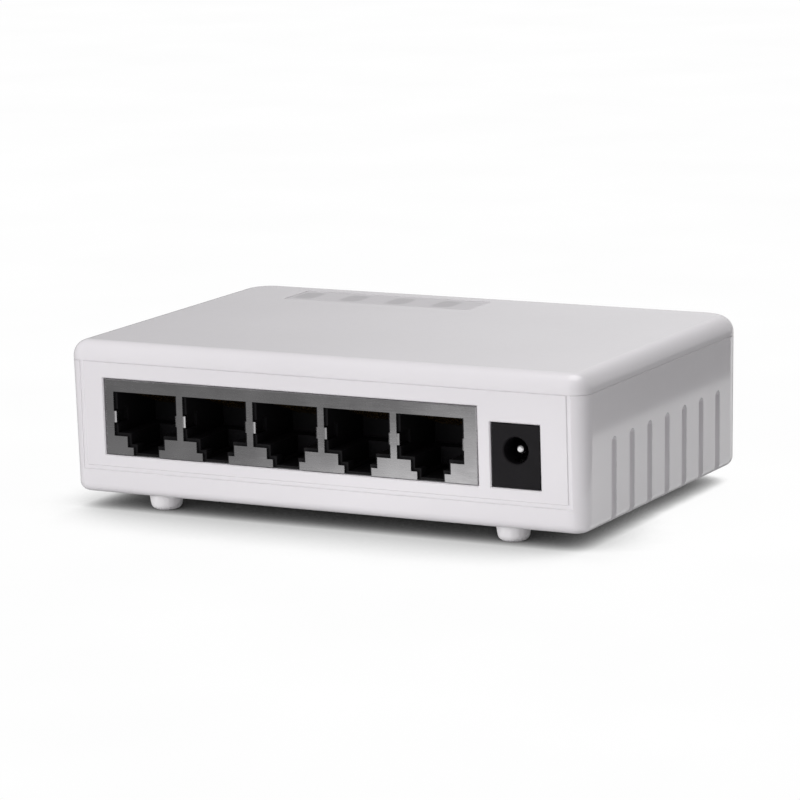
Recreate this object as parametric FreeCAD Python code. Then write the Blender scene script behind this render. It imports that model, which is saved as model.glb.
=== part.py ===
"""Five-port desktop network switch: white two-shell case, ganged shielded RJ45 jack, DC inlet, board.

Lengths are in millimetres. Frame: +Z up, the feet stand on z = 0, the port face looks towards -Y,
+X is to the right of somebody facing the ports, and the origin is under the middle of the case.
"""
import FreeCAD, Part
import math
import os

V = FreeCAD.Vector

# ---- case -------------------------------------------------------------------------------------
CASE_W = 100.2           # along X, at the parting line
CASE_D = 67.2            # along Y, at the parting line
FOOT_H = 2.9             # the feet hold the case this far off the table
LOWER_H = 23.7           # lower shell, from its underside to the parting line
UPPER_H = 3.3            # upper cover above the parting line
WALL = 1.8
FLOOR_T = 2.0
CORNER_FRONT = 3.25      # plan radius of the two corners beside the ports
CORNER_REAR = 6.25       # plan radius of the two corners at the back
TOP_ROUND = 2.9          # rounding along the cover's upper edge
BOTTOM_ROUND = 1.6
DRAFT_INSET = 0.40       # the lower shell's sides lean in by this much at the bottom
PARTING_CHAMFER = 0.22
LIP_DROP = 2.0           # the cover's lip reaches this far into the lower shell
LIP_GAP = 0.15
LIP_T = 1.2

CASE_BOTTOM = FOOT_H
PARTING_Z = CASE_BOTTOM + LOWER_H
TOP_Z = PARTING_Z + UPPER_H
INNER_FLOOR = CASE_BOTTOM + FLOOR_T
INNER_TOP = TOP_Z - WALL
FACE_Y = -CASE_D / 2
REAR_Y = CASE_D / 2
DRAFT_ANGLE = math.degrees(math.atan(DRAFT_INSET / LOWER_H))

# shallow channel that frames the socket panel at the left, at the right and below
PANEL_HALF_W = 46.7
PANEL_Z0 = 8.0
CHANNEL_W = 0.95
CHANNEL_DEPTH = 0.18

# grip grooves on both sides
GROOVE_COUNT = 7
GROOVE_PITCH = 7.24
GROOVE_W = 2.0
GROOVE_DEPTH = 0.9
GROOVE_TOP = 17.8

# ---- board ------------------------------------------------------------------------------------
BOARD_TOP = 10.1
BOARD_T = 1.6
BOARD_BOTTOM = BOARD_TOP - BOARD_T
BOARD_HALF_W = 45.0
BOARD_Y0 = -31.3
BOARD_Y1 = 31.0
PIN_TIP_Z = BOARD_BOTTOM - 0.9      # soldered legs end below the board
LEG_HOLE_R = 0.42

# ---- ganged RJ45 jack -------------------------------------------------------------------------
PORTS = 5
PORT_PITCH = 13.97
FIRST_PORT_X = -34.68
SHIELD_X0 = -42.75
SHIELD_X1 = 30.05
SHIELD_H = 13.4
SHIELD_Y0 = -33.2        # front of the metal face
SHIELD_Y1 = -11.9
SHIELD_T = 0.3
SHIELD_ROUND = 0.2       # bend radius around the metal face
SHIELD_TOP = BOARD_TOP + SHIELD_H
WINDOW_GAP = 0.15        # all round the jack and the DC inlet, in the case wall
WINDOW_BEVEL = 0.2
OPEN_W = 12.76           # window in the metal
OPEN_TOP = 21.3
OPEN_FLOOR = 13.42
STEP1_W = 7.57           # wide part of the latch notch
STEP1_FLOOR = 11.5
STEP2_W = 5.24           # narrow part, open at the bottom edge of the metal
PLASTIC_INSET = 0.5      # the plastic cavity is this much smaller than the metal window
HOUSING_Y0 = -32.65
HOUSING_Y1 = -12.3
CAVITY_REAR_Y = -20.0
LATCH_REAR_Y = -23.0
LATCH_LIP = 1.9          # the latch of a plug hooks behind this much of the cavity's floor
NOTCH_FLOOR = 10.5
FINGER_Z0 = 15.8         # grounding fingers at the sides of each window
FINGER_Z1 = 17.8

# contact wires, eight to a port
WIRES = 8
WIRE_PITCH = 1.02
WIRE_W = 0.35
WIRE_T = 0.30
WIRE_RUN_Z = 21.95       # the run through the carrier's tongue
WIRE_SLOPE = 20.0        # degrees below level, at rest
WIRE_SPRING_L = 9.6
BEND_Y = -30.25
BEND_Z = 21.4
BEND_R = WIRE_RUN_Z - BEND_Z
ROOT_GAP = 0.06          # between the fixed bend and the springing wire
TAIL_ROWS = (-16.4, -13.9)

# ---- DC inlet ---------------------------------------------------------------------------------
DC_X = 37.2
DC_W = 8.95
DC_H = 10.9
DC_Y0 = -33.2
DC_DEPTH = 14.0
DC_FLANGE = 3.2
DC_BORE_Z = 16.45
DC_BORE_R = 2.3
DC_LEAD_IN = 0.18
DC_BORE_END = -23.0
DC_PIN_R = 0.825
DC_PIN_TIP = -31.6
DC_LEAF_W = 2.2
DC_LEAF_T = 0.3
DC_LEAF_ROOT = (-21.2, 13.7)

# ---- fasteners and feet -----------------------------------------------------------------------
CASE_SCREWS = [(sx * 45.7, y) for sx in (-1, 1) for y in (-8.0, 24.0)]
BOARD_SCREWS = [(-39.5, 18.0), (39.5, 18.0)]
BOARD_PEGS = [(-41.9, -9.8), (41.9, -9.8)]
BOARD_RIB_XS = (-27.5, -10.0, 7.5, 25.0)
FEET = {
    "foot_front_left": (-34.0, -28.0),
    "foot_front_right": (34.0, -28.0),
    "foot_rear_left": (-34.0, 28.0),
    "foot_rear_right": (34.0, 28.0),
}
FOOT_R = 3.05
FOOT_TIP_R = 2.6
FOOT_TIP_ROUND = 1.2
FOOT_HOLE_R = 1.5

# ---- status lights ----------------------------------------------------------------------------
LED_XS = [-32.8 + 9.5 * i for i in range(4)]
LED_Y = 23.3
LENS_X0 = -35.5
LENS_X1 = 2.5
LENS_W = 9.4
LENS_DEPTH = 0.6
GUIDE_WINDOW = (5.0, 4.2)
GUIDE_TOP = INNER_TOP - 0.05

# ---- parts on the board -----------------------------------------------------------------------
MAGNETICS_Y = -5.0
MAGNETICS_SIZE = (12.4, 7.0, 4.6)
MAGNETICS_LEGS = 8               # on each long side
MAGNETICS_LEG_PITCH = 1.4
CHIP_Y = 9.0
CHIP_SIZE = 14.0
CHIP_H = 1.5
CHIP_LEADS = 12                  # on each side
CRYSTAL_AT = (16.5, 13.0)
CRYSTAL_W = 4.4
CRYSTAL_STRAIGHT = 6.6
CRYSTAL_H = 3.6
CRYSTAL_BASE_H = 0.4
CAPACITORS = {                   # centre x, centre y, radius, height
    "capacitor_input": (36.5, -11.5, 4.0, 11.0),
    "capacitor_output": (36.5, -1.5, 3.15, 7.5),
}
CAPACITOR_CRIMP_Z = 1.8
INDUCTOR_AT = (31.0, 6.0)
INDUCTOR_SIZE = 7.0
INDUCTOR_H = 3.4
REGULATOR_AT = (38.0, 8.0)
REGULATOR_SIZE = (6.5, 3.5)
REGULATOR_H = 1.7
REGULATOR_LEG_PITCH = 2.3
PASSIVE_L = 1.7
PASSIVE_W = 0.9
PASSIVE_H = 0.6
PASSIVE_ROWS = (                 # first x, y, spacing, count
    (-30.0, 1.5, 2.4, 9),
    (12.5, 6.0, 2.2, 6),
)
LED_RESISTOR_Y = 18.5
GUIDE_BAR_HALF = 2.7
GUIDE_PIPE = (2.6, 2.0)

# ---- blank label under the case ---------------------------------------------------------------
LABEL = (-22.0, 22.0, -25.0, -11.0)
LABEL_RECESS = 0.2


# ---- helpers ----------------------------------------------------------------------------------
def box(x0, x1, y0, y1, z0, z1):
    return Part.makeBox(x1 - x0, y1 - y0, z1 - z0, V(x0, y0, z0))


def block(cx, cy, sx, sy, z0, z1):
    """Box given by its centre and size in plan."""
    return box(cx - sx / 2, cx + sx / 2, cy - sy / 2, cy + sy / 2, z0, z1)


def post(x, y, r, z0, z1):
    return Part.makeCylinder(r, z1 - z0, V(x, y, z0))


def rod_y(x, z, r, y0, y1):
    return Part.makeCylinder(r, y1 - y0, V(x, y0, z), V(0, 1, 0))


def fused(shapes):
    result = shapes[0]
    if len(shapes) > 1:
        result = result.multiFuse(shapes[1:])
    return result.removeSplitter()


def edges_at_z(shape, z):
    return [e for e in shape.Edges if all(abs(v.Z - z) < 1e-4 for v in e.Vertexes)]


def outline(half_w, y0, y1, r_front, r_rear, z):
    """Closed rounded rectangle at height z, with its own radius at the front and the rear corners."""
    corners = [
        (-half_w, y0, r_front, 180),
        (half_w, y0, r_front, 270),
        (half_w, y1, r_rear, 0),
        (-half_w, y1, r_rear, 90),
    ]
    arcs = []
    for x, y, r, start in corners:
        cx = x - math.copysign(r, x)
        cy = y - math.copysign(r, y)
        pts = []
        for turn in (0, 45, 90):
            a = math.radians(start + turn)
            pts.append(V(cx + r * math.cos(a), cy + r * math.sin(a), z))
        arcs.append(pts)
    edges = []
    for i, pts in enumerate(arcs):
        edges.append(Part.Arc(*pts).toShape())
        edges.append(Part.makeLine(pts[2], arcs[(i + 1) % 4][0]))
    return Part.Wire(edges)


def case_outline(inset, z):
    return outline(
        CASE_W / 2 - inset,
        FACE_Y + inset,
        REAR_Y - inset,
        CORNER_FRONT - inset,
        CORNER_REAR - inset,
        z,
    )


def slab(inset, z0, z1):
    """Upright solid with the case's outline, pulled in by inset."""
    return Part.Face(case_outline(inset, z0)).extrude(V(0, 0, z1 - z0))


def band(points, thickness):
    """Polygon of constant thickness that follows an open path in a plane."""
    left, right = [], []
    for i, (a, b) in enumerate(points):
        before = points[max(i - 1, 0)]
        after = points[min(i + 1, len(points) - 1)]
        d_in = math.atan2(b - before[1], a - before[0]) if i else None
        d_out = math.atan2(after[1] - b, after[0] - a) if i < len(points) - 1 else None
        if d_in is None:
            d_in = d_out
        if d_out is None:
            d_out = d_in
        half_turn = math.remainder(d_out - d_in, 2 * math.pi) / 2
        normal = d_in + half_turn + math.pi / 2
        reach = thickness / 2 / math.cos(half_turn)
        left.append((a + reach * math.cos(normal), b + reach * math.sin(normal)))
        right.append((a - reach * math.cos(normal), b - reach * math.sin(normal)))
    return left + right[::-1]


def strip_yz(points, thickness, cx, width):
    """Flat strip of metal whose path lies in the YZ plane, width along X."""
    ring = [V(cx - width / 2, y, z) for y, z in band(points, thickness)]
    return Part.Face(Part.makePolygon(ring + ring[:1])).extrude(V(width, 0, 0))


def strip_xy(points, thickness, z0, z1):
    """Flat strip of metal whose path lies in the XY plane, width along Z."""
    ring = [V(x, y, z0) for x, y in band(points, thickness)]
    return Part.Face(Part.makePolygon(ring + ring[:1])).extrude(V(0, 0, z1 - z0))


def arc_path(ca, cb, r, start, end, steps):
    """Points along an arc, angles in degrees."""
    out = []
    for i in range(steps + 1):
        a = math.radians(start + (end - start) * i / steps)
        out.append((ca + r * math.cos(a), cb + r * math.sin(a)))
    return out


def port_x(i):
    return FIRST_PORT_X + PORT_PITCH * i


def wire_x(port, i):
    return port_x(port) + (i - (WIRES - 1) / 2) * WIRE_PITCH


# ---- case -------------------------------------------------------------------------------------
def lower_body():
    """Outside of the lower shell, leaning in towards the bottom, with its bottom edge rounded."""
    foot = case_outline(DRAFT_INSET, CASE_BOTTOM)
    rim = case_outline(0, PARTING_Z)
    body = Part.makeLoft([foot, rim], True, True)
    return body.makeFillet(BOTTOM_ROUND, edges_at_z(body, CASE_BOTTOM))


def groove(side, y):
    """Round-bottomed upright groove with a domed top, open at the bottom edge of the shell."""
    r = (GROOVE_W**2 / 4 + GROOVE_DEPTH**2) / (2 * GROOVE_DEPTH)
    axis_x = CASE_W / 2 + r - GROOVE_DEPTH
    dome_z = GROOVE_TOP - GROOVE_W / 2
    lean = DRAFT_INSET * (PARTING_Z - dome_z) / LOWER_H
    top = V(axis_x - lean, y, dome_z)
    down = V(-math.sin(math.radians(DRAFT_ANGLE)), 0, -math.cos(math.radians(DRAFT_ANGLE)))
    tool = Part.makeCylinder(r, dome_z, top, down).fuse(Part.makeSphere(r, top))
    if side < 0:
        tool = tool.mirror(V(0, 0, 0), V(1, 0, 0))
    return tool


def flared_block(x0, x1, z0, z1, depth, flare):
    """Block across the port face, wider by flare at its front than on the face itself."""
    wires = []
    for y, more in ((FACE_Y - depth, flare), (FACE_Y + depth, -flare)):
        a, b, low, high = x0 - more, x1 + more, z0 - more, z1 + more
        ring = [V(a, y, low), V(b, y, low), V(b, y, high), V(a, y, high), V(a, y, low)]
        wires.append(Part.makePolygon(ring))
    shape = Part.makeLoft(wires, True, True)
    shape.rotate(V(0, FACE_Y, PARTING_Z), V(1, 0, 0), DRAFT_ANGLE)
    return shape


def panel_channel():
    """U-shaped channel with sloping flanks, open towards the parting line."""
    d, top = CHANNEL_DEPTH, PARTING_Z + 2
    reach = PANEL_HALF_W + CHANNEL_W
    outer = flared_block(-reach, reach, PANEL_Z0 - CHANNEL_W, top, d, d)
    return outer.cut(flared_block(-PANEL_HALF_W, PANEL_HALF_W, PANEL_Z0, top + 1, d, -d))


def case_windows():
    """Openings in the port wall for the ganged jack and for the DC inlet, with bevelled edges."""
    g = WINDOW_GAP
    spans = [
        (SHIELD_X0 - g, SHIELD_X1 + g, BOARD_TOP - g, SHIELD_TOP + g),
        (DC_X - DC_W / 2 - g, DC_X + DC_W / 2 + g, BOARD_TOP - g, BOARD_TOP + DC_H + g),
    ]
    tools = []
    b = WINDOW_BEVEL
    for x0, x1, z0, z1 in spans:
        tools.append(box(x0, x1, FACE_Y - 1, FACE_Y + WALL + 1, z0, z1))
        tools.append(flared_block(x0 - b, x1 + b, z0 - b, z1 + b, b, b))
    return tools


def vent_slots():
    """Two rows of round-ended slots through the floor."""
    tools = []
    for row_y in (-0.5, 13.5):
        for i in range(9):
            x = -24.0 + 6.0 * i
            tools.append(block(x, row_y, 1.8, 8.2, CASE_BOTTOM - 1, INNER_FLOOR + 1))
            for end in (-1, 1):
                tools.append(post(x, row_y + end * 4.1, 0.9, CASE_BOTTOM - 1, INNER_FLOOR + 1))
    return tools


def bottom_case():
    body = lower_body()
    tools = [panel_channel()] + case_windows() + vent_slots()
    for side in (-1, 1):
        for i in range(GROOVE_COUNT):
            tools.append(groove(side, (i - (GROOVE_COUNT - 1) / 2) * GROOVE_PITCH))
    hollow = Part.makeLoft(
        [
            case_outline(WALL + DRAFT_INSET * (1 - FLOOR_T / LOWER_H), INNER_FLOOR),
            case_outline(WALL, PARTING_Z),
        ],
        True,
        True,
    )
    shell = body.makeChamfer(PARTING_CHAMFER, edges_at_z(body, PARTING_Z)).cut(hollow)
    adds = []
    for x, y in CASE_SCREWS:
        adds.append(post(x, y, 3.2, INNER_FLOOR - 0.2, BOARD_BOTTOM - 0.2))
        tools.append(post(x, y, 2.35, CASE_BOTTOM - 1, CASE_BOTTOM + 3.4))
        tools.append(post(x, y, 1.3, CASE_BOTTOM, BOARD_BOTTOM))
    for x, y in BOARD_SCREWS:
        adds.append(post(x, y, 2.75, INNER_FLOOR - 0.2, BOARD_BOTTOM))
        tools.append(post(x, y, 0.95, INNER_FLOOR + 0.3, BOARD_BOTTOM + 1))
    for x, y in BOARD_PEGS:
        adds.append(post(x, y, 2.0, INNER_FLOOR - 0.2, BOARD_BOTTOM))
    for x in BOARD_RIB_XS:
        adds.append(block(x, -26.5, 8.0, 1.2, INNER_FLOOR - 0.2, BOARD_BOTTOM))
    for x, y in FEET.values():
        tools.append(post(x, y, FOOT_HOLE_R, CASE_BOTTOM - 1, INNER_FLOOR + 1))
    x0, x1, y0, y1 = LABEL
    tools.append(box(x0, x1, y0, y1, CASE_BOTTOM - 1, CASE_BOTTOM + LABEL_RECESS))
    shell = shell.multiFuse(adds).common(lower_body())
    pegs = [post(x, y, 0.9, BOARD_BOTTOM - 0.2, BOARD_TOP + 0.9) for x, y in BOARD_PEGS]
    return shell.cut(tools).multiFuse(pegs).removeSplitter()


def top_cover():
    """Shallow lid with a lip that drops into the lower shell and four screw posts."""
    lid = slab(0, PARTING_Z, TOP_Z)
    lid = lid.makeFillet(TOP_ROUND, edges_at_z(lid, TOP_Z))
    lid = lid.cut(slab(WALL, PARTING_Z - 1, INNER_TOP))
    lip_out = WALL + LIP_GAP
    lip = slab(lip_out, PARTING_Z - LIP_DROP, INNER_TOP + 0.3)
    lip = lip.cut(slab(lip_out + LIP_T, PARTING_Z - LIP_DROP - 1, INNER_TOP + 1))
    bridge = slab(WALL - 0.4, PARTING_Z, INNER_TOP + 0.2)
    bridge = bridge.cut(slab(lip_out + 0.4, PARTING_Z - 1, INNER_TOP + 1))
    adds = [lip, bridge]
    for x, y in CASE_SCREWS:
        adds.append(post(x, y, 2.1, BOARD_BOTTOM - 0.15, INNER_TOP + 0.2))
    for x in (-20.51, 7.43):
        adds.append(block(x, -22.0, 1.4, 12.0, SHIELD_TOP + 0.1, INNER_TOP + 0.2))
    tools = [post(x, y, 1.0, BOARD_BOTTOM - 1, BOARD_BOTTOM + 7) for x, y in CASE_SCREWS]
    tools.append(
        box(LENS_X0, LENS_X1, LED_Y - LENS_W / 2, LED_Y + LENS_W / 2, TOP_Z - LENS_DEPTH, TOP_Z + 1)
    )
    for x in LED_XS:
        tools.append(
            block(x, LED_Y, GUIDE_WINDOW[0] + 0.2, GUIDE_WINDOW[1] + 0.2, INNER_TOP - 1, TOP_Z)
        )
    return lid.multiFuse(adds).cut(tools).removeSplitter()


def foot(x, y):
    """Soft round foot, pushed through the floor and held by its head."""
    pad = Part.makeCone(FOOT_TIP_R, FOOT_R, FOOT_H, V(x, y, 0))
    pad = pad.makeFillet(FOOT_TIP_ROUND, edges_at_z(pad, 0))
    stem = post(x, y, FOOT_HOLE_R - 0.06, FOOT_H, INNER_FLOOR + 0.1)
    head = Part.makeCone(2.0, 1.1, 1.1, V(x, y, INNER_FLOOR + 0.1))
    return fused([pad, stem, head])


def rating_label():
    """Blank film in the recess under the case."""
    x0, x1, y0, y1 = LABEL
    g = 0.25
    return box(x0 + g, x1 - g, y0 + g, y1 - g, CASE_BOTTOM + 0.04, CASE_BOTTOM + LABEL_RECESS)


def pan_screw(x, y, head_r, head_h, seat_z, shank_r, tip_z, head_up):
    """Screw with a domed head and a cross recess; the head stands above seat_z if head_up."""
    way = 1 if head_up else -1
    head = Part.makeCylinder(head_r, head_h, V(x, y, seat_z), V(0, 0, way))
    head = head.makeFillet(head_h * 0.55, edges_at_z(head, seat_z + way * head_h))
    shank = Part.makeCylinder(shank_r, abs(seat_z - tip_z), V(x, y, seat_z), V(0, 0, -way))
    z_in = seat_z + way * head_h * 0.35
    z_out = seat_z + way * (head_h + 0.5)
    low, high = min(z_in, z_out), max(z_in, z_out)
    cross = [
        block(x, y, head_r * 1.1, 0.45, low, high),
        block(x, y, 0.45, head_r * 1.1, low, high),
    ]
    return head.fuse(shank).cut(cross).removeSplitter()


def case_screws():
    seat = CASE_BOTTOM + 3.4
    return [pan_screw(x, y, 2.1, 1.5, seat, 0.95, seat + 7.5, False) for x, y in CASE_SCREWS]


def board_screws():
    return [
        pan_screw(x, y, 2.0, 1.3, BOARD_TOP, 0.9, INNER_FLOOR + 0.6, True) for x, y in BOARD_SCREWS
    ]


# ---- board and what is soldered to it ---------------------------------------------------------
def leg_spots():
    """Where the jack's contact tails pass through the board."""
    return [
        (wire_x(port, i), TAIL_ROWS[i % 2]) for port in range(PORTS) for i in range(WIRES)
    ]


def shield_tabs():
    """Centres of the shield's solder tabs, as (x, y)."""
    half = SHIELD_T / 2
    return [(x, y) for x in (SHIELD_X0 + half, SHIELD_X1 - half) for y in (-27.0, -17.0)]


def main_board():
    board = box(-BOARD_HALF_W, BOARD_HALF_W, BOARD_Y0, BOARD_Y1, BOARD_BOTTOM, BOARD_TOP)
    z0, z1 = BOARD_BOTTOM - 1, BOARD_TOP + 1
    tools = [post(x, y, LEG_HOLE_R, z0, z1) for x, y in leg_spots()]
    tools += [block(x, y, 0.9, 2.2, z0, z1) for x, y in shield_tabs()]
    tools += [post(x, y, 2.6, z0, z1) for x, y in CASE_SCREWS]
    tools += [post(x, y, 1.2, z0, z1) for x, y in BOARD_SCREWS]
    tools += [post(x, y, 1.0, z0, z1) for x, y in BOARD_PEGS]
    tools.append(block(DC_X, DC_LEAF_ROOT[0], DC_LEAF_W + 0.6, 0.9, z0, z1))
    tools.append(block(DC_X, DC_Y0 + DC_DEPTH + 0.2, 3.2, 0.9, z0, z1))
    return board.cut(tools).removeSplitter()


def jack_window(inset, y0, y1, floor_z, cx):
    """Stepped opening of one port: the plug's body above, the two-step latch notch below."""
    w, s1, s2 = OPEN_W / 2 - inset, STEP1_W / 2 - inset, STEP2_W / 2 - inset
    return [
        box(cx - w, cx + w, y0, y1, OPEN_FLOOR + inset, OPEN_TOP),
        box(cx - s1, cx + s1, y0, y1, STEP1_FLOOR + inset, OPEN_TOP),
        box(cx - s2, cx + s2, y0, y1, floor_z, OPEN_TOP),
    ]


def ground_finger(x_edge, inward):
    """Sprung tongue cut from the metal face and folded back along the side of a window."""
    y = SHIELD_Y0 + SHIELD_T / 2
    path = [(-0.25, 0.0), (0.12, 0.0), (0.32, 0.12), (0.34, 0.4), (0.15, 0.9), (-0.05, 1.4)]
    points = [(x_edge + inward * dx, y + dy) for dx, dy in path]
    return strip_xy(points, 0.2, FINGER_Z0, FINGER_Z1)


def jack_shield():
    """Folded metal shell over the ganged jack: face, top, sides, back and solder tabs."""
    shell = box(SHIELD_X0, SHIELD_X1, SHIELD_Y0, SHIELD_Y1, BOARD_TOP, SHIELD_TOP)
    rim = [
        e
        for e in shell.Edges
        if all(v.Y < SHIELD_Y0 + 1e-4 for v in e.Vertexes)
        and not all(v.Z < BOARD_TOP + 1e-4 for v in e.Vertexes)
    ]
    shell = shell.makeFillet(SHIELD_ROUND, rim)
    t = SHIELD_T
    inside = box(
        SHIELD_X0 + t, SHIELD_X1 - t, SHIELD_Y0 + t, SHIELD_Y1 - t, BOARD_TOP - 1, SHIELD_TOP - t
    )
    tools = [inside]
    for i in range(PORTS):
        tools += jack_window(0, SHIELD_Y0 - 1, SHIELD_Y0 + t + 0.1, BOARD_TOP - 1, port_x(i))
    shell = shell.cut(tools)
    adds = []
    for i in range(PORTS):
        adds.append(ground_finger(port_x(i) - OPEN_W / 2, 1))
        adds.append(ground_finger(port_x(i) + OPEN_W / 2, -1))
    for x, y in shield_tabs():
        adds.append(block(x, y, t, 1.6, PIN_TIP_Z, BOARD_TOP + 0.5))
    return shell.multiFuse(adds).removeSplitter()


def jack_housing():
    """Black ganged moulding with five stepped cavities, open at the back for the contact carriers."""
    body = box(
        SHIELD_X0 + 0.35,
        SHIELD_X1 - 0.35,
        HOUSING_Y0,
        HOUSING_Y1,
        BOARD_TOP + 0.05,
        SHIELD_TOP - 0.35,
    )
    inset = PLASTIC_INSET
    tools = []
    for i in range(PORTS):
        cx = port_x(i)
        upper, step1, step2 = jack_window(inset, HOUSING_Y0 - 1, LATCH_REAR_Y, NOTCH_FLOOR, cx)
        half = OPEN_W / 2 - inset
        cavity = box(
            cx - half, cx + half, HOUSING_Y0 - 1, CAVITY_REAR_Y, OPEN_FLOOR + inset, OPEN_TOP
        )
        latch_half = STEP1_W / 2 - inset
        latch_room = box(
            cx - latch_half,
            cx + latch_half,
            HOUSING_Y0 + LATCH_LIP,
            LATCH_REAR_Y,
            NOTCH_FLOOR + 0.4,
            OPEN_FLOOR + 1,
        )
        channel = box(cx - 4.6, cx + 4.6, -31.4, -18.0, OPEN_TOP - 0.1, 22.6)
        pocket = box(cx - 5.7, cx + 5.7, -18.9, HOUSING_Y1 + 1, BOARD_TOP - 1, 22.6)
        tools += [upper, step1, step2, cavity, latch_room, channel, pocket]
        for side in (-1, 1):
            wall = cx + side * half
            tools.append(
                box(
                    min(wall - side * 0.1, wall + side * 0.75),
                    max(wall - side * 0.1, wall + side * 0.75),
                    HOUSING_Y0 - 1,
                    -29.2,
                    FINGER_Z0 - 0.25,
                    FINGER_Z1 + 0.25,
                )
            )
    return body.cut(tools).removeSplitter()


def contact_carriers():
    """Five inserts that hold the wires: a tongue over each cavity and a block behind it."""
    solids = []
    for i in range(PORTS):
        cx = port_x(i)
        tongue = box(cx - 4.4, cx + 4.4, -30.1, -17.0, OPEN_TOP + 0.05, 22.5)
        rear = box(cx - 5.6, cx + 5.6, -18.8, HOUSING_Y1 - 0.1, BOARD_TOP + 0.05, 22.5)
        solids.append(fused([tongue, rear]))
    return solids


def contact_tails():
    """Fixed part of every wire: leg through the board, run along the tongue and front bend."""
    solids = []
    bend = arc_path(BEND_Y, BEND_Z, BEND_R, 90, 270 - WIRE_SLOPE, 8)
    for port in range(PORTS):
        for i in range(WIRES):
            row = TAIL_ROWS[i % 2]
            turn = arc_path(row - 0.6, WIRE_RUN_Z - 0.6, 0.6, 0, 90, 4)
            path = [(row, PIN_TIP_Z)] + turn + bend
            solids.append(strip_yz(path, WIRE_T, wire_x(port, i), WIRE_W))
    return solids


def spring_root():
    """Where a springing wire leaves its bend, as (y, z)."""
    a = math.radians(270 - WIRE_SLOPE)
    return BEND_Y + BEND_R * math.cos(a), BEND_Z + BEND_R * math.sin(a)


def contact_springs(port):
    """The eight wires of one port that a plug pushes up, from the bend to their free ends."""
    y, z = spring_root()
    a = math.radians(-WIRE_SLOPE)
    path = []
    for reach in (ROOT_GAP, WIRE_SPRING_L):
        path.append((y + reach * math.cos(a), z + reach * math.sin(a)))
    return [strip_yz(path, WIRE_T, wire_x(port, i), WIRE_W) for i in range(WIRES)]


# ---- DC inlet ---------------------------------------------------------------------------------
def dc_jack_housing():
    """Black moulding: square front flange, round-topped body, bore with a slot for the leaf."""
    half = DC_W / 2
    top = BOARD_TOP + DC_H
    rear = DC_Y0 + DC_DEPTH
    flange = box(DC_X - half, DC_X + half, DC_Y0, DC_Y0 + DC_FLANGE, BOARD_TOP, top)
    front_ring = [e for e in flange.Edges if all(v.Y < DC_Y0 + 1e-4 for v in e.Vertexes)]
    flange = flange.makeFillet(0.2, front_ring)
    barrel_r = half - 0.4
    barrel = rod_y(DC_X, DC_BORE_Z, barrel_r, DC_Y0 + DC_FLANGE - 0.5, rear)
    base = box(
        DC_X - barrel_r,
        DC_X + barrel_r,
        DC_Y0 + DC_FLANGE - 0.5,
        rear,
        BOARD_TOP,
        DC_BORE_Z,
    )
    body = fused([flange, barrel, base])
    lead_in = Part.makeCone(
        DC_BORE_R + DC_LEAD_IN, DC_BORE_R, DC_LEAD_IN, V(DC_X, DC_Y0, DC_BORE_Z), V(0, 1, 0)
    )
    slot_half = DC_LEAF_W / 2 + 0.2
    root_y, root_z = DC_LEAF_ROOT
    tools = [
        rod_y(DC_X, DC_BORE_Z, DC_BORE_R, DC_Y0 - 1, DC_BORE_END),
        lead_in,
        rod_y(DC_X, DC_BORE_Z, 1.15, DC_BORE_END - 0.5, rear + 1),
        box(DC_X - slot_half, DC_X + slot_half, -31.2, root_y + 0.6, 12.6, DC_BORE_Z - 1.0),
        box(
            DC_X - slot_half, DC_X + slot_half, root_y - 0.35, root_y + 0.6, BOARD_TOP - 1, root_z
        ),
    ]
    return body.cut(tools).removeSplitter()


def dc_jack_pin():
    """Centre pin on a shoulder, with its tab down the back of the inlet and through the board."""
    pin = rod_y(DC_X, DC_BORE_Z, DC_PIN_R, DC_PIN_TIP, DC_BORE_END)
    tip = [e for e in pin.Edges if all(abs(v.Y - DC_PIN_TIP) < 1e-4 for v in e.Vertexes)]
    pin = pin.makeFillet(0.45, tip)
    rear = DC_Y0 + DC_DEPTH
    shoulder = rod_y(DC_X, DC_BORE_Z, 1.1, DC_BORE_END, rear + 0.05)
    tab = box(DC_X - 1.4, DC_X + 1.4, rear + 0.05, rear + 0.35, PIN_TIP_Z, DC_BORE_Z + 1.5)
    return fused([pin, shoulder, tab])


def dc_jack_leaf():
    """Sprung strip under the bore that presses on a plug's sleeve."""
    y, z = DC_LEAF_ROOT
    path = [
        (y - ROOT_GAP, z),
        (y - 4.5, z + 0.15),
        (y - 6.4, z + 0.85),
        (y - 7.4, z + 0.85),
        (y - 8.8, z - 0.1),
    ]
    return strip_yz(path, DC_LEAF_T, DC_X, DC_LEAF_W)


def dc_jack_terminal():
    """Fixed root of the leaf and its leg through the board."""
    y, z = DC_LEAF_ROOT
    half = DC_LEAF_T / 2
    foot_strip = box(DC_X - DC_LEAF_W / 2, DC_X + DC_LEAF_W / 2, y, y + 0.45, z - half, z + half)
    leg = box(DC_X - 1.0, DC_X + 1.0, y + 0.02, y + 0.32, PIN_TIP_Z, z)
    return fused([foot_strip, leg])


# ---- parts on the board -----------------------------------------------------------------------
def port_transformer(port):
    """Encapsulated magnetics module behind one port."""
    length, width, height = MAGNETICS_SIZE
    top = BOARD_TOP + height
    body = block(port_x(port), MAGNETICS_Y, length, width, BOARD_TOP + 0.15, top)
    return body.makeChamfer(0.35, edges_at_z(body, top))


def transformer_legs():
    """Gull-wing legs of the five magnetics modules."""
    solids = []
    high, low = BOARD_TOP + 0.85, BOARD_TOP + 0.1
    for port in range(PORTS):
        for side in (-1, 1):
            y = MAGNETICS_Y + side * MAGNETICS_SIZE[1] / 2
            path = [(y, high), (y + side * 0.5, high), (y + side * 0.7, low)]
            path.append((y + side * 1.4, low))
            for i in range(MAGNETICS_LEGS):
                x = port_x(port) + (i - (MAGNETICS_LEGS - 1) / 2) * MAGNETICS_LEG_PITCH
                solids.append(strip_yz(path, 0.18, x, 0.5))
    return solids


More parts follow.
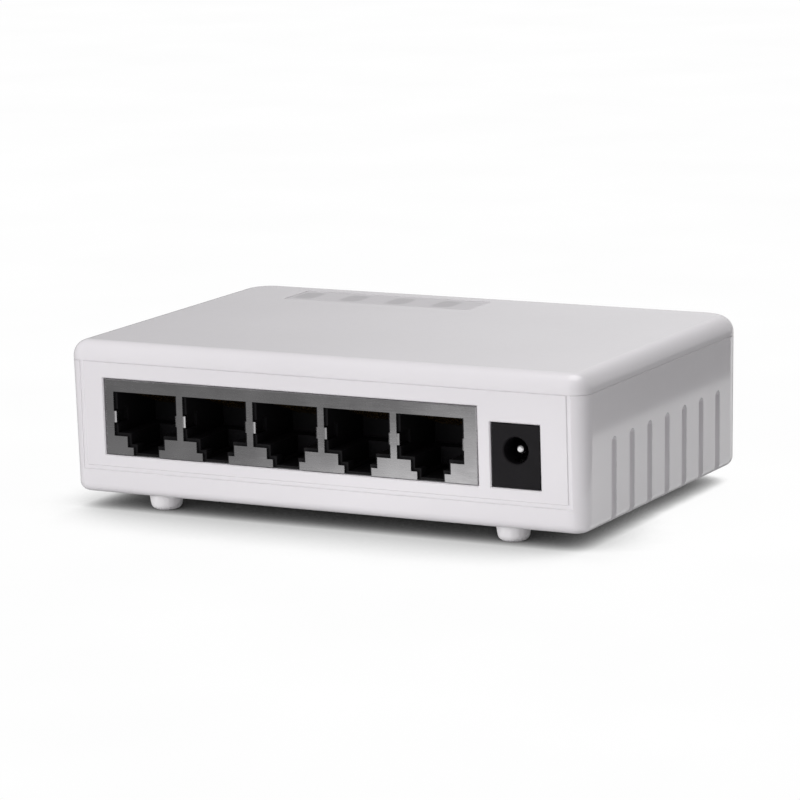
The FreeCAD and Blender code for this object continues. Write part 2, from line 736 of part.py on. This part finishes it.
def switch_chip():
    """Square flat package with a dimple at its first pin."""
    top = BOARD_TOP + CHIP_H
    body = block(0, CHIP_Y, CHIP_SIZE, CHIP_SIZE, BOARD_TOP + 0.1, top)
    body = body.makeChamfer(0.25, edges_at_z(body, top))
    dimple = CHIP_SIZE / 2 - 1.6
    return body.cut(post(-dimple, CHIP_Y - dimple, 0.6, top - 0.1, top + 0.5))


def chip_leads():
    """Gull-wing leads on all four sides of the switch chip."""
    edge = CHIP_SIZE / 2
    high, low = BOARD_TOP + 0.75, BOARD_TOP + 0.08
    path = [(edge, high), (edge + 0.4, high), (edge + 0.6, low), (edge + 1.2, low)]
    side = [strip_yz(path, 0.15, i - (CHIP_LEADS - 1) / 2, 0.4) for i in range(CHIP_LEADS)]
    solids = []
    for quarter in range(4):
        for lead in side:
            copy = lead.copy()
            copy.rotate(V(0, 0, 0), V(0, 0, 1), 90 * quarter)
            copy.translate(V(0, CHIP_Y, 0))
            solids.append(copy)
    return solids


def crystal():
    """Metal can with round ends on a thin base."""
    x, y = CRYSTAL_AT
    z0, z1 = BOARD_TOP + CRYSTAL_BASE_H, BOARD_TOP + CRYSTAL_H
    half = CRYSTAL_STRAIGHT / 2
    can = [block(x, y, CRYSTAL_STRAIGHT, CRYSTAL_W, z0, z1)]
    can += [post(x + end * half, y, CRYSTAL_W / 2, z0, z1) for end in (-1, 1)]
    base = block(x, y, CRYSTAL_STRAIGHT + CRYSTAL_W + 0.4, CRYSTAL_W + 0.4, BOARD_TOP, z0)
    return fused(can + [base])


def capacitor(x, y, r, h):
    """Upright electrolytic can with a crimp ring near its foot."""
    can = post(x, y, r, BOARD_TOP, BOARD_TOP + h)
    can = can.makeFillet(0.5, edges_at_z(can, BOARD_TOP + h))
    return can.cut(Part.makeTorus(r + 0.15, 0.5, V(x, y, BOARD_TOP + CAPACITOR_CRIMP_Z)))


def inductor():
    """Low square core with cut corners."""
    core = block(*INDUCTOR_AT, INDUCTOR_SIZE, INDUCTOR_SIZE, BOARD_TOP, BOARD_TOP + INDUCTOR_H)
    upright = [e for e in core.Edges if abs(e.Vertexes[0].Z - e.Vertexes[1].Z) > 1]
    return core.makeChamfer(1.2, upright)


def regulator():
    """Small power regulator with a wide tab and three legs."""
    x, y = REGULATOR_AT
    length, width = REGULATOR_SIZE
    metal_top = BOARD_TOP + 0.3
    body = block(x, y, length, width, BOARD_TOP + 0.1, BOARD_TOP + REGULATOR_H)
    tab = block(x, y + width / 2 + 0.85, 3.0, 1.8, BOARD_TOP, metal_top)
    legs = [
        block(x + way * REGULATOR_LEG_PITCH, y - width / 2 - 0.65, 0.7, 1.6, BOARD_TOP, metal_top)
        for way in (-1, 0, 1)
    ]
    return fused([body, tab] + legs)


def chip_passives():
    """Small resistors and capacitors, in rows beside the larger parts."""
    top = BOARD_TOP + PASSIVE_H
    solids = []
    for x0, y, spacing, count in PASSIVE_ROWS:
        for i in range(count):
            solids.append(block(x0 + i * spacing, y, PASSIVE_W, PASSIVE_L, BOARD_TOP, top))
    for x in LED_XS:
        solids.append(block(x, LED_RESISTOR_Y, PASSIVE_L, PASSIVE_W, BOARD_TOP, top))
    return solids


def status_leds():
    return [block(x, LED_Y, 2.0, 1.25, BOARD_TOP, BOARD_TOP + 0.8) for x in LED_XS]


def light_guide():
    """Clear moulding: a bar under the lid, a window block up into it and a pipe down to each LED."""
    solids = [
        box(
            LENS_X0 - 1,
            LENS_X1 + 1,
            LED_Y - GUIDE_BAR_HALF,
            LED_Y + GUIDE_BAR_HALF,
            GUIDE_TOP - 1.0,
            GUIDE_TOP,
        )
    ]
    for x in LED_XS:
        solids.append(block(x, LED_Y, *GUIDE_WINDOW, GUIDE_TOP - 0.2, TOP_Z - 0.7))
        solids.append(block(x, LED_Y, *GUIDE_PIPE, BOARD_TOP + 1.2, GUIDE_TOP - 0.5))
    return fused(solids)


def led_lens():
    """Smoked strip that covers the windows, a hair below the top surface."""
    g = 0.06
    strip = box(
        LENS_X0 + g,
        LENS_X1 - g,
        LED_Y - LENS_W / 2 + g,
        LED_Y + LENS_W / 2 - g,
        TOP_Z - LENS_DEPTH + 0.02,
        TOP_Z - 0.04,
    )
    return strip


# ---- all nodes --------------------------------------------------------------------------------
def all_nodes():
    nodes = {
        "bottom_case": bottom_case(),
        "top_cover": top_cover(),
        "rating_label": rating_label(),
        "case_screws": case_screws(),
        "board_screws": board_screws(),
        "main_board": main_board(),
        "jack_shield": jack_shield(),
        "jack_housing": jack_housing(),
        "contact_carriers": contact_carriers(),
        "contact_tails": contact_tails(),
        "dc_jack_housing": dc_jack_housing(),
        "dc_jack_pin": dc_jack_pin(),
        "dc_jack_leaf": dc_jack_leaf(),
        "dc_jack_terminal": dc_jack_terminal(),
        "transformer_legs": transformer_legs(),
        "switch_chip": switch_chip(),
        "chip_leads": chip_leads(),
        "crystal": crystal(),
        "inductor": inductor(),
        "regulator": regulator(),
        "chip_passives": chip_passives(),
        "status_leds": status_leds(),
        "light_guide": light_guide(),
        "led_lens": led_lens(),
    }
    for name, size in CAPACITORS.items():
        nodes[name] = capacitor(*size)
    for port in range(PORTS):
        nodes[f"contact_springs_{port + 1}"] = contact_springs(port)
        nodes[f"port_transformer_{port + 1}"] = port_transformer(port)
    for name, (x, y) in FEET.items():
        nodes[name] = foot(x, y)
    return nodes


def main():
    os.makedirs("parts", exist_ok=True)
    for name, made in all_nodes().items():
        shape = Part.makeCompound(made) if isinstance(made, list) else made
        if not shape.isValid():
            raise ValueError(f"{name} is not a valid shape")
        shape.exportStep(f"parts/{name}.step")
        bounds = shape.BoundBox
        print(
            f"{name}: {len(shape.Solids)} solid(s), x {bounds.XMin:.2f}..{bounds.XMax:.2f}, "
            f"y {bounds.YMin:.2f}..{bounds.YMax:.2f}, z {bounds.ZMin:.2f}..{bounds.ZMax:.2f}, "
            f"{shape.Volume:.1f} mm3"
        )


main()
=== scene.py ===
import math

import bpy
from mathutils import Matrix, Vector


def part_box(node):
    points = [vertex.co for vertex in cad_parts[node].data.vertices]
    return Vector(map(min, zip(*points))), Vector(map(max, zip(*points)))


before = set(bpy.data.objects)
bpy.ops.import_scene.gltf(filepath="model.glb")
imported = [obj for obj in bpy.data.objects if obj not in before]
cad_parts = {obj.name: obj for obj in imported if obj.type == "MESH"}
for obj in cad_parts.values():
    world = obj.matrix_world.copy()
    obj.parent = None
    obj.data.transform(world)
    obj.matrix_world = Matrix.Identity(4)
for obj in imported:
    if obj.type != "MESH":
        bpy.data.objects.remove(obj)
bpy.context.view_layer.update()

MM = 0.001


# ---- camera -----------------------------------------------------------------------------------
CAMERA_PLACE = Vector((336.9, -638.2, 154.2)) * MM
CAMERA_AZIMUTH = 27.96       # from straight in front of the ports, towards +X
CAMERA_ELEVATION = 10.80
CAMERA_ROLL = -1.375
HALF_PIXEL = 0.089 * MM      # half a pixel at the object's distance, to the left and up
SENSOR_WIDTH = 36.0          # Blender takes these two in millimetres
FOCAL_LENGTH = 186.39
NEAREST = 50 * MM
FARTHEST = 20000 * MM


def make_camera():
    a, e, r = (math.radians(v) for v in (CAMERA_AZIMUTH, CAMERA_ELEVATION, CAMERA_ROLL))
    back = Vector((math.sin(a) * math.cos(e), -math.cos(a) * math.cos(e), math.sin(e)))
    right = Vector((math.cos(a), math.sin(a), 0))
    up = back.cross(right)
    x_axis = right * math.cos(r) + up * math.sin(r)
    y_axis = up * math.cos(r) - right * math.sin(r)
    place = CAMERA_PLACE + (y_axis - x_axis) * HALF_PIXEL
    data = bpy.data.cameras.new("camera")
    data.sensor_width = SENSOR_WIDTH
    data.lens = FOCAL_LENGTH
    data.clip_start = NEAREST
    data.clip_end = FARTHEST
    camera = bpy.data.objects.new("camera", data)
    camera.matrix_world = Matrix(
        [[x_axis[i], y_axis[i], back[i], place[i]] for i in range(3)] + [[0, 0, 0, 1]]
    )
    bpy.context.scene.collection.objects.link(camera)
    bpy.context.scene.camera = camera


# ---- material tools ---------------------------------------------------------------------------
NOISE_SPAN = (0.3, 0.7)      # most values of a noise lie in here
CLOUD_SPAN = (0.35, 0.65)    # the same for slow, soft changes of tone


class Nodes:
    """Short names for building one node material."""

    def __init__(self, name):
        self.material = bpy.data.materials.new(name)
        self.material.use_nodes = True
        self.tree = self.material.node_tree
        self.bsdf = self.tree.nodes["Principled BSDF"]
        self.coords = self.tree.nodes.new("ShaderNodeTexCoord").outputs["Object"]

    def link(self, a, b):
        self.tree.links.new(a, b)

    def split(self):
        """The X, Y and Z outputs of the place on the object."""
        node = self.tree.nodes.new("ShaderNodeSeparateXYZ")
        self.link(self.coords, node.inputs[0])
        return node.outputs

    def noise(self, per_mm, detail=2.0, rough=0.5, stretch=(1, 1, 1)):
        """Noise whose features are about 1 / per_mm millimetres across."""
        mapping = self.tree.nodes.new("ShaderNodeMapping")
        mapping.inputs["Scale"].default_value = [per_mm / MM * s for s in stretch]
        self.link(self.coords, mapping.inputs["Vector"])
        node = self.tree.nodes.new("ShaderNodeTexNoise")
        node.inputs["Scale"].default_value = 1
        node.inputs["Detail"].default_value = detail
        node.inputs["Roughness"].default_value = rough
        self.link(mapping.outputs["Vector"], node.inputs["Vector"])
        return node.outputs["Fac"]

    def ramp(self, value, low, high, start=0.0, end=1.0):
        """Value from start..end of the input mapped to low..high, numbers or colours."""
        if isinstance(low, (int, float)):
            node = self.tree.nodes.new("ShaderNodeMapRange")
            node.inputs["From Min"].default_value = start
            node.inputs["From Max"].default_value = end
            node.inputs["To Min"].default_value = low
            node.inputs["To Max"].default_value = high
            self.link(value, node.inputs["Value"])
            return node.outputs["Result"]
        node = self.tree.nodes.new("ShaderNodeValToRGB")
        node.color_ramp.elements[0].position = start
        node.color_ramp.elements[1].position = end
        node.color_ramp.elements[0].color = (*low, 1)
        node.color_ramp.elements[1].color = (*high, 1)
        self.link(value, node.inputs["Fac"])
        return node.outputs["Color"]

    def math(self, kind, *values):
        """Output of one math node over numbers and other nodes' outputs."""
        node = self.tree.nodes.new("ShaderNodeMath")
        node.operation = kind
        for socket, value in zip(node.inputs, values):
            if isinstance(value, bpy.types.NodeSocket):
                self.link(value, socket)
            else:
                socket.default_value = value
        return node.outputs[0]

    def bump(self, height, depth_mm, strength, normal=None):
        """Normal of a surface with this relief, on top of another relief if one is given."""
        node = self.tree.nodes.new("ShaderNodeBump")
        node.inputs["Distance"].default_value = depth_mm * MM
        node.inputs["Strength"].default_value = strength
        self.link(height, node.inputs["Height"])
        if normal is not None:
            self.link(normal, node.inputs["Normal"])
        return node.outputs["Normal"]

    def set(self, **inputs):
        """The finished material, with numbers, colours or node outputs in these inputs."""
        for name, value in inputs.items():
            socket = self.bsdf.inputs[name.replace("_", " ")]
            if isinstance(value, bpy.types.NodeSocket):
                self.link(value, socket)
            elif isinstance(value, tuple):
                socket.default_value = (*value, 1)
            else:
                socket.default_value = value
        return self.material

    def shine(self, strength):
        """The finished material, as a lit surface instead of a reflecting one."""
        emission = self.tree.nodes.new("ShaderNodeEmission")
        self.link(strength, emission.inputs["Strength"])
        return self.only(emission)

    def only(self, shader):
        """The finished material, with this shader in place of the usual one."""
        self.tree.nodes.remove(self.bsdf)
        self.link(shader.outputs[0], self.tree.nodes["Material Output"].inputs["Surface"])
        return self.material


# ---- materials of the object ------------------------------------------------------------------
def case_plastic():
    """Injection-moulded white ABS: even gloss over fine moulding grain, faint waves and clouding."""
    n = Nodes("case_plastic")
    cloud = n.noise(0.02, detail=3)
    waves = n.noise(0.09, detail=1)
    grain = n.noise(5.0)
    wavy = n.bump(waves, depth_mm=0.012, strength=0.4)
    normal = n.bump(grain, depth_mm=0.004, strength=0.30, normal=wavy)
    return n.set(
        Base_Color=n.ramp(cloud, (0.738, 0.713, 0.741), (0.770, 0.744, 0.773), *CLOUD_SPAN),
        Roughness=n.ramp(n.noise(0.8, detail=3), 0.40, 0.50, *NOISE_SPAN),
        Specular_IOR_Level=0.25,
        Coat_Weight=0.9,
        Coat_Roughness=n.ramp(n.noise(0.4, detail=3), 0.06, 0.10, *NOISE_SPAN),
        Normal=normal,
        Coat_Normal=normal,
    )


def shield_steel():
    """Tinned spring steel: rolled grain along X, soft smudges."""
    n = Nodes("shield_steel")
    grain = n.noise(4.0, detail=4, rough=0.6, stretch=(0.06, 1, 1))
    smudge = n.noise(0.12, detail=3)
    return n.set(
        Base_Color=n.ramp(smudge, (0.50, 0.49, 0.50), (0.62, 0.61, 0.62), *CLOUD_SPAN),
        Metallic=1.0,
        Roughness=n.ramp(grain, 0.20, 0.30, *NOISE_SPAN),
        Normal=n.bump(grain, depth_mm=0.004, strength=0.4),
    )


def solder_mask():
    """Green lacquer over copper tracks that run along X and Y."""
    n = Nodes("solder_mask")
    along = n.noise(0.5, detail=1, stretch=(0.12, 1, 1))
    across = n.noise(0.5, detail=1, stretch=(1, 0.12, 1))
    copper = n.ramp(n.math("MAXIMUM", along, across), 0.0, 1.0, 0.60, 0.63)
    return n.set(
        Base_Color=n.ramp(copper, (0.010, 0.075, 0.030), (0.020, 0.130, 0.050)),
        Roughness=n.ramp(n.noise(2.0), 0.25, 0.36, *NOISE_SPAN),
        Normal=n.bump(copper, depth_mm=0.03, strength=0.6),
    )


LED_COUNT = 4
LED_LENGTH = 2.0 * MM        # one light, along X
WINDOW_WIDTH = 4.2 * MM      # dark window over each light, along X
WINDOW_DEPTH = 6.4 * MM
WINDOW_SQUARENESS = 4.0      # 2 is an ellipse, more is closer to a rectangle
WINDOW_EDGE = (0.82, 1.14)   # where the soft edge starts and ends, as shares of the half width


def led_windows(n):
    """1 in the rounded window over each light, 0 elsewhere on the strip."""
    place = n.split()
    low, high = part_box("status_leds")
    first = low[0] + LED_LENGTH / 2
    pitch = (high[0] - low[0] - LED_LENGTH) / (LED_COUNT - 1)
    middle = (low[1] + high[1]) / 2
    half = WINDOW_WIDTH / 2
    x = n.math("PINGPONG", n.math("SUBTRACT", place["X"], first), pitch / 2)
    y = n.math("ABSOLUTE", n.math("SUBTRACT", place["Y"], middle))
    y = n.math("MULTIPLY", y, WINDOW_WIDTH / WINDOW_DEPTH)
    powers = (n.math("POWER", value, WINDOW_SQUARENESS) for value in (x, y))
    radius = n.math("POWER", n.math("ADD", *powers), 1 / WINDOW_SQUARENESS)
    start, end = (half * share for share in WINDOW_EDGE)
    window = n.ramp(radius, 1.0, 0.0, start, end)
    before_last_edge = n.math("LESS_THAN", place["X"], high[0] + half)
    return n.math("MULTIPLY", window, before_last_edge)


def lens_film():
    """Pale grey strip with a darker soft-edged window over each light."""
    n = Nodes("lens_film")
    return n.set(
        Base_Color=n.ramp(led_windows(n), (0.540, 0.522, 0.542), (0.43, 0.416, 0.432)),
        Roughness=n.ramp(n.noise(0.8), 0.34, 0.42, *NOISE_SPAN),
        Normal=n.bump(n.noise(4.0), depth_mm=0.003, strength=0.4),
    )


TONE_PER_MM = 1 / 1.8        # patches of slightly different tone
GRAIN_PER_MM = 1 / 0.3
GRAIN_DEPTH = 0.003


def plain(name, colour, roughness, metallic=0.0, spread=0.08, gloss=0.5):
    """Even surface with fine grain and a little variation of tone and gloss."""
    n = Nodes(name)
    low = tuple(c * (1 - spread) for c in colour)
    high = tuple(min(1, c * (1 + spread)) for c in colour)
    grain = n.noise(GRAIN_PER_MM)
    return n.set(
        Base_Color=n.ramp(n.noise(TONE_PER_MM, detail=3), low, high, *NOISE_SPAN),
        Metallic=metallic,
        Specular_IOR_Level=gloss,
        Roughness=n.ramp(grain, roughness * 0.9, roughness * 1.12, *NOISE_SPAN),
        Normal=n.bump(grain, GRAIN_DEPTH, strength=0.5),
    )


def give(material, *names):
    for name in names:
        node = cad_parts[name]
        node.data.materials.clear()
        node.data.materials.append(material)


def every(prefix):
    return [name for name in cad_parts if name.startswith(prefix)]


def dress_outside():
    give(case_plastic(), "top_cover", "bottom_case")
    give(lens_film(), "led_lens")
    give(shield_steel(), "jack_shield")
    jack = plain("jack_plastic", (0.006, 0.0055, 0.0065), 0.55, gloss=0.22)
    give(jack, "jack_housing", "contact_carriers")
    inlet = plain("inlet_plastic", (0.0100, 0.0090, 0.0105), 0.50, gloss=0.18)
    give(inlet, "dc_jack_housing")
    pin = plain("pin_metal", (0.86, 0.85, 0.86), 0.13, metallic=1.0)
    give(pin, "dc_jack_pin")
    gold = plain("contact_gold", (0.83, 0.60, 0.26), 0.25, metallic=1.0)
    give(gold, "contact_tails", *every("contact_springs_"))
    rubber = plain("foot_rubber", (0.93, 0.91, 0.93), 0.55, spread=0.01)
    give(rubber, *every("foot_"))
    zinc = plain("screw_zinc", (0.60, 0.60, 0.61), 0.3, metallic=1.0)
    give(zinc, "case_screws", "board_screws")
    give(plain("label_film", (0.62, 0.62, 0.64), 0.45), "rating_label")


def dress_inside():
    give(solder_mask(), "main_board")
    tin = plain("tinned_metal", (0.72, 0.71, 0.72), 0.28, metallic=1.0)
    give(tin, "dc_jack_leaf", "dc_jack_terminal", "transformer_legs", "chip_leads")
    resin = plain("chip_resin", (0.018, 0.018, 0.019), 0.55)
    give(resin, "switch_chip", "regulator", *every("port_transformer_"))
    aluminium = plain("can_aluminium", (0.75, 0.75, 0.76), 0.3, metallic=1.0)
    give(aluminium, "crystal")
    sleeve = plain("can_sleeve", (0.03, 0.03, 0.04), 0.35)
    give(sleeve, "capacitor_input", "capacitor_output")
    give(plain("ferrite", (0.06, 0.06, 0.065), 0.6), "inductor")
    give(plain("chip_ceramic", (0.35, 0.26, 0.17), 0.5), "chip_passives")
    give(plain("led_resin", (0.75, 0.78, 0.55), 0.3), "status_leds")
    give(plain("guide_acrylic", (0.80, 0.82, 0.82), 0.1), "light_guide")


# ---- stage ------------------------------------------------------------------------------------
# Level sheets are x0, x1, y0, y1, z. The camera sees only the floor. The others are there for the
# object: its matt surfaces are lit by the table and the bounce card, and its gloss reflects the
# front, side and back cards. All of them but the upright back card lie just under the floor.
FLOOR = (-5000, 5000, -5000, 5000, 0)
TABLE = (-700, 700, -900, 700, -0.05)
BOUNCE_CARD = (-250, 90, -300, -36, -0.03)
FRONT_CARD = (-400, 500, -500, -40, -0.04)
SIDE_CARD = (50, 500, -40, 500, -0.04)
BACK_CARD = [(-1500, 600, 0), (900, 600, 0), (900, 600, 700), (-1500, 600, 700)]

# Brightness of each card: (place along its direction, strength) stops.
BOUNCE_STOPS = [(-300, 0.75), (-30, 0.85)]
FRONT_STOPS = [(-150, 0.16), (-100, 0.24), (-60, 0.25), (-44, 0.72), (-20, 1.1), (10, 0.5)]
SIDE_STOPS = [(87, 1.15), (89, 0.15)]
BACK_STOPS = [(-450, 0.20), (-200, 0.62)]
ALONG_X = (1, 0, 0)
ALONG_Y = (0, 1, 0)
FRONT_SLANT = (1, 0.35, 0)

# The floor glows white where it sees enough open sky; elsewhere it carries a painted shadow, a power
# of the lack of open sky.
SHADE_REACH = 35.0           # how far up the floor looks for the object
OPEN_IN_FRONT = 0.80         # share of open sky that is enough, at FRONT_Y and before it
OPEN_BEHIND = 0.46           # and from the middle of the object backwards
FRONT_Y = -35.0
SHADE_POWER = 1.2

WORLD_STRENGTH = 0.26


def level(x0, x1, y0, y1, z):
    return [(x0, y0, z), (x1, y0, z), (x1, y1, z), (x0, y1, z)]


def sheet(name, corners, material, camera=False, diffuse=False, glossy=False):
    """Flat four-cornered piece of the studio, seen only by the rays it is meant for."""
    mesh = bpy.data.meshes.new(name)
    mesh.from_pydata([Vector(c) * MM for c in corners], [], [(0, 1, 2, 3)])
    mesh.materials.append(material)
    obj = bpy.data.objects.new(name, mesh)
    bpy.context.scene.collection.objects.link(obj)
    obj.visible_camera = camera
    obj.visible_diffuse = diffuse
    obj.visible_glossy = glossy
    obj.visible_transmission = camera
    obj.visible_shadow = False


def painted_shadow_floor():
    """Overexposed white paper with a painted contact shadow: grey only where the object stands close
    above it.
    """
    n = Nodes("painted_shadow_floor")
    near = n.tree.nodes.new("ShaderNodeAmbientOcclusion")
    near.inputs["Distance"].default_value = SHADE_REACH * MM
    enough = n.ramp(n.split()["Y"], OPEN_IN_FRONT, OPEN_BEHIND, FRONT_Y * MM, 0.0)
    # Painted shadow: the floor's glow is dimmed where the object hides the sky above it.
    shade = n.math("MINIMUM", n.math("DIVIDE", near.outputs["AO"], enough), 1.0)
    shade = n.math("POWER", shade, SHADE_POWER)
    fibres = n.ramp(n.noise(0.02), 0.985, 1.0, *NOISE_SPAN)
    return n.shine(n.math("MULTIPLY", shade, fibres))


def table_paper():
    """Matt paper that throws a little light back under the object."""
    n = Nodes("table_paper")
    diffuse = n.tree.nodes.new("ShaderNodeBsdfDiffuse")
    n.link(n.ramp(n.noise(0.02), 0.49, 0.51, *NOISE_SPAN), diffuse.inputs["Color"])
    return n.only(diffuse)


def glow(name, direction, stops):
    """Lit card whose brightness follows the stops along one direction."""
    n = Nodes(name)
    along = n.tree.nodes.new("ShaderNodeVectorMath")
    along.operation = "DOT_PRODUCT"
    along.inputs[1].default_value = direction
    n.link(n.coords, along.inputs[0])
    strength = stops[0][1]
    for (start, low), (end, high) in zip(stops, stops[1:]):
        step = n.ramp(along.outputs["Value"], 0.0, high - low, start * MM, end * MM)
        strength = n.math("ADD", strength, step)
    return n.shine(strength)


def area_light(name, place, size, watts, aim=(0, 0, 10), glossy=False):
    data = bpy.data.lights.new(name, "AREA")
    data.shape = "RECTANGLE"
    data.size, data.size_y = (s * MM for s in size)
    data.energy = watts
    obj = bpy.data.objects.new(name, data)
    obj.location = Vector(place) * MM
    obj.rotation_mode = "QUATERNION"
    obj.rotation_quaternion = (Vector(aim) * MM - obj.location).to_track_quat("-Z", "Y")
    obj.visible_glossy = glossy
    bpy.context.scene.collection.objects.link(obj)


def make_sheets():
    sheet("floor", level(*FLOOR), painted_shadow_floor(), camera=True)
    sheet("table", level(*TABLE), table_paper(), diffuse=True)
    bounce_glow = glow("bounce_glow", ALONG_Y, BOUNCE_STOPS)
    sheet("bounce_card", level(*BOUNCE_CARD), bounce_glow, diffuse=True)
    front_glow = glow("front_glow", FRONT_SLANT, FRONT_STOPS)
    sheet("front_card", level(*FRONT_CARD), front_glow, glossy=True)
    side_glow = glow("side_glow", ALONG_X, SIDE_STOPS)
    sheet("side_card", level(*SIDE_CARD), side_glow, glossy=True)
    back_glow = glow("back_glow", ALONG_X, BACK_STOPS)
    sheet("back_card", BACK_CARD, back_glow, glossy=True)


def make_world():
    world = bpy.data.worlds.new("studio")
    world.use_nodes = True
    background = world.node_tree.nodes["Background"]
    background.inputs["Color"].default_value = (1, 1, 1, 1)
    background.inputs["Strength"].default_value = WORLD_STRENGTH
    bpy.context.scene.world = world
    bpy.context.scene.view_settings.view_transform = "Standard"


def make_lights():
    area_light("key", place=(-450, -1200, 450), size=(1500, 900), watts=12.0)
    area_light("fill", place=(-500, 1100, 400), size=(1200, 800), watts=7.0)
    area_light("overhead", place=(0, 200, 1400), size=(1200, 1200), watts=11.9,
               aim=(0, 0, 0), glossy=True)


make_camera()
dress_outside()
dress_inside()
make_sheets()
make_world()
make_lights()
